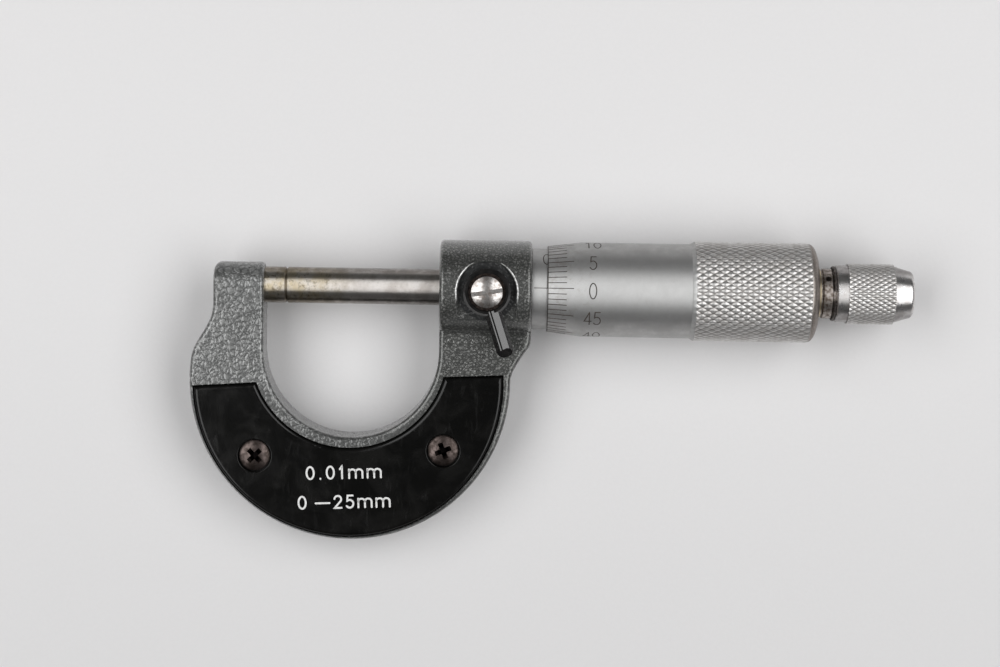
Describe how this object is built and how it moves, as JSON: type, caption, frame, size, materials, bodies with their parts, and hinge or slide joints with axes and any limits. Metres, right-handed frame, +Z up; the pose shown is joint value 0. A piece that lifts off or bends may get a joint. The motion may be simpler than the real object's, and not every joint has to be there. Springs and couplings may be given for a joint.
{
  "type": "outside micrometer",
  "caption": "C-frame outside micrometer with a screw thimble, ratchet knob and lever lock, lying flat and closed at zero.",
  "frame": {"origin": "centre of the anvil's measuring face, on the spindle axis", "axes": "+X along the spindle axis from the anvil towards the thimble and ratchet; +Z up from the table the micrometer lies on; the C-frame hangs towards -Y"},
  "size_m": [0.1301, 0.0549, 0.0189],
  "materials": {
    "frame_paint": "grey hammered enamel, semi-gloss",
    "cover_plastic": "black moulded plastic, satin",
    "dark_steel": "browned steel, semi-matt",
    "ground_steel": "ground and lapped steel, slightly stained",
    "carbide": "lapped hard metal",
    "satin_chrome": "satin chromium plate",
    "bright_chrome": "bright polished plate",
    "plain_steel": "plain machined steel, oiled",
    "brass": "plain turned brass",
    "lever_plastic": "black lacquered, glossy"
  },
  "bodies": {
    "frame": {"frame": "frame_paint", "front_cover": "cover_plastic", "back_cover": "cover_plastic", "cover_screws": "dark_steel", "anvil": "ground_steel", "anvil_tip": "carbide", "threaded_bush": "plain_steel", "adjusting_nut": "plain_steel"},
    "sleeve": {"sleeve": "satin_chrome"},
    "spindle_tip": {"spindle_tip": "carbide"},
    "thimble": {"spindle": "ground_steel", "thimble_connector": "plain_steel", "thimble": "satin_chrome", "tail_washer": "brass", "ratchet_stem": "dark_steel", "snap_ring": "dark_steel"},
    "ratchet_knob": {"ratchet_knob": "bright_chrome", "knob_bush": "plain_steel", "clutch_spring": "dark_steel"},
    "clutch_disc": {"clutch_disc": "plain_steel"},
    "lock_pad": {"lock_pad": "brass"},
    "lock_lever": {"lock_screw": "plain_steel", "lock_lever": "lever_plastic", "lock_washer": "dark_steel", "lock_cap_screw": "bright_chrome"}
  },
  "joints": [
    {"name": "spindle_advance", "type": "slide", "parent": "frame", "child": "spindle_tip", "axis": [1, 0, 0], "range_m": [0, 0.025]},
    {"name": "thimble_turn", "type": "hinge", "parent": "spindle_tip", "child": "thimble", "pos_m": [0, 0, 0], "axis": [1, 0, 0], "range_deg": [0, 18000]},
    {"name": "ratchet_slip", "type": "hinge", "parent": "thimble", "child": "ratchet_knob", "pos_m": [0.1, 0, 0], "axis": [1, 0, 0], "continuous": true},
    {"name": "clutch_lift", "type": "slide", "parent": "ratchet_knob", "child": "clutch_disc", "axis": [1, 0, 0], "range_m": [0, 0.0005], "stiffness_N_per_m": 900, "springref_m": -0.002, "deforming": ["clutch_spring"]},
    {"name": "sleeve_zero", "type": "hinge", "parent": "frame", "child": "sleeve", "pos_m": [0.06, 0, 0], "axis": [1, 0, 0], "range_deg": [-15, 15]},
    {"name": "lock_advance", "type": "slide", "parent": "frame", "child": "lock_pad", "axis": [0, -0.1039, 0.9946], "range_m": [-0.000093333, 0.000029166]},
    {"name": "lock_turn", "type": "hinge", "parent": "lock_pad", "child": "lock_lever", "pos_m": [0.03615, 0, 0], "axis": [0, -0.1039, 0.9946], "range_deg": [-48, 15]}
  ],
  "couplings": [
    {"joint": "thimble_turn", "follows": "spindle_advance", "rad_per_m": 12566},
    {"joint": "lock_turn", "follows": "lock_advance", "rad_per_m": 8976}
  ]
}
